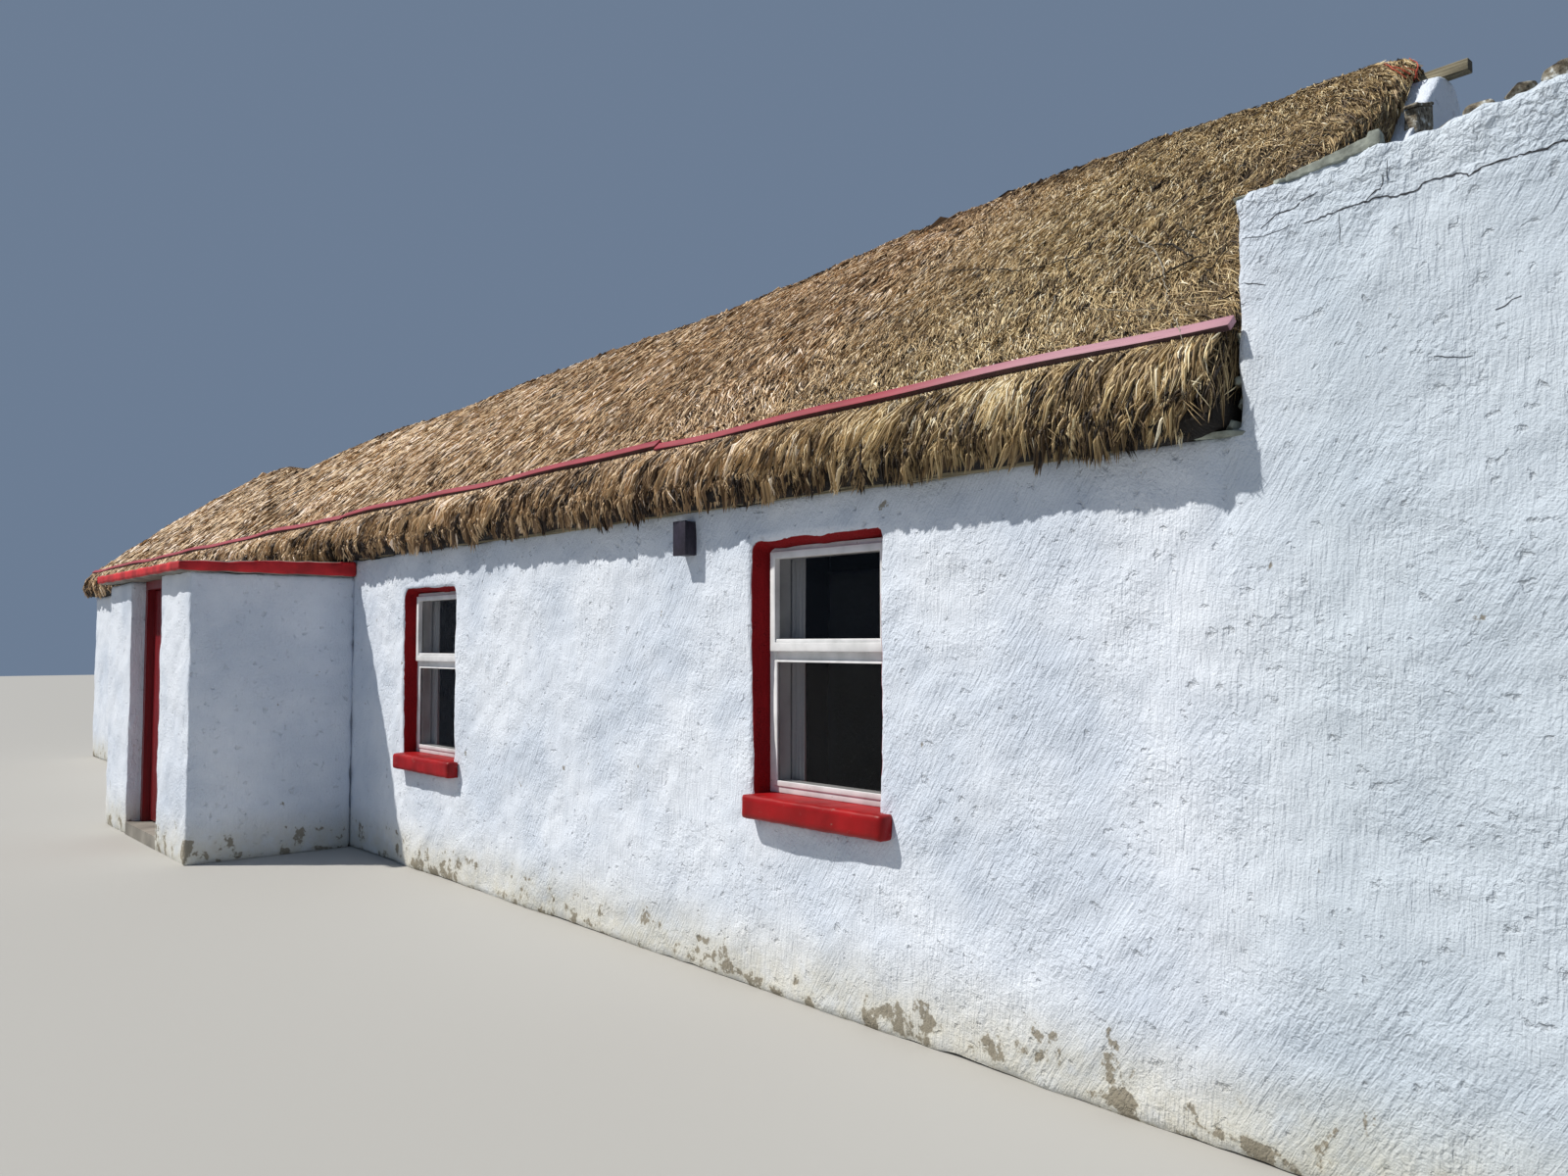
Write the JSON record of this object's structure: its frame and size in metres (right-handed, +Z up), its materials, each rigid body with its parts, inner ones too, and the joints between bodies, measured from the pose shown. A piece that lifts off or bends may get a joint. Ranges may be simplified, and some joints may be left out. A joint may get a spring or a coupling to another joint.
{
  "type": "thatched cottage",
  "caption": "Long low whitewashed stone cottage with a straw thatched roof held by red battens, deep-set windows, a red-doored masonry porch and a taller flat-topped store at one end.",
  "frame": {"origin": "on the ground under the middle of the building's outer box", "axes": "+X along the front wall towards the store, +Y from the front wall towards the back, +Z up"},
  "size_m": [20.73, 5.862, 4.42],
  "materials": {
    "limewash": "rough rubble masonry under thick limewash",
    "straw": "weathered straw thatch",
    "white_paint": "gloss white paint on timber",
    "window_glass": "clear sheet glass",
    "red_painted_concrete": "red masonry paint",
    "red_painted_timber": "weathered red paint on timber",
    "weathered_timber": "bare grey timber",
    "concrete": "trowelled concrete",
    "slate": "split slate",
    "curtain_cloth": "thin gathered cotton",
    "dark_box": "dark moulded box"
  },
  "bodies": {
    "house": {"front_wall_right": "limewash", "front_wall_left": "limewash", "front_wall_over_door": "limewash", "back_wall": "limewash", "floor": "concrete", "window_1_frame": "white_paint", "window_1_glass": "window_glass", "window_1_sill": "red_painted_concrete", "window_2_frame": "white_paint", "window_2_glass": "window_glass", "window_2_sill": "red_painted_concrete", "window_3_frame": "white_paint", "window_3_glass": "window_glass", "window_3_sill": "red_painted_concrete", "window_4_frame": "white_paint", "window_4_glass": "window_glass", "window_4_sill": "red_painted_concrete", "window_1_curtain": "curtain_cloth", "window_2_curtain": "curtain_cloth", "back_window_1_frame": "white_paint", "back_window_1_glass": "window_glass", "back_window_2_frame": "white_paint", "back_window_2_glass": "window_glass", "ridge_pole": "weathered_timber", "right_gable": "limewash", "left_gable": "limewash", "front_purlin": "weathered_timber", "back_purlin": "weathered_timber", "thatch_front": "straw", "thatch_back": "straw", "batten_left": "red_painted_timber", "batten_middle": "red_painted_timber", "batten_right": "red_painted_timber", "batten_back": "red_painted_timber", "porch_left_pier": "limewash", "porch_right_pier": "limewash", "porch_left_side": "limewash", "porch_right_side": "limewash", "porch_floor": "concrete", "porch_roof": "red_painted_concrete", "door_frame": "red_painted_timber", "store_front_wall": "limewash", "store_end_wall": "limewash", "store_back_wall": "limewash", "store_roof": "slate", "wall_box": "dark_box"},
    "door": {"door": "red_painted_timber"}
  },
  "joints": [
    {"name": "door_hinge", "type": "hinge", "parent": "house", "child": "door", "pos_m": [-2.244, -2.601, 1.085], "axis": [0, 0, 1], "range_deg": [0, 90]}
  ]
}
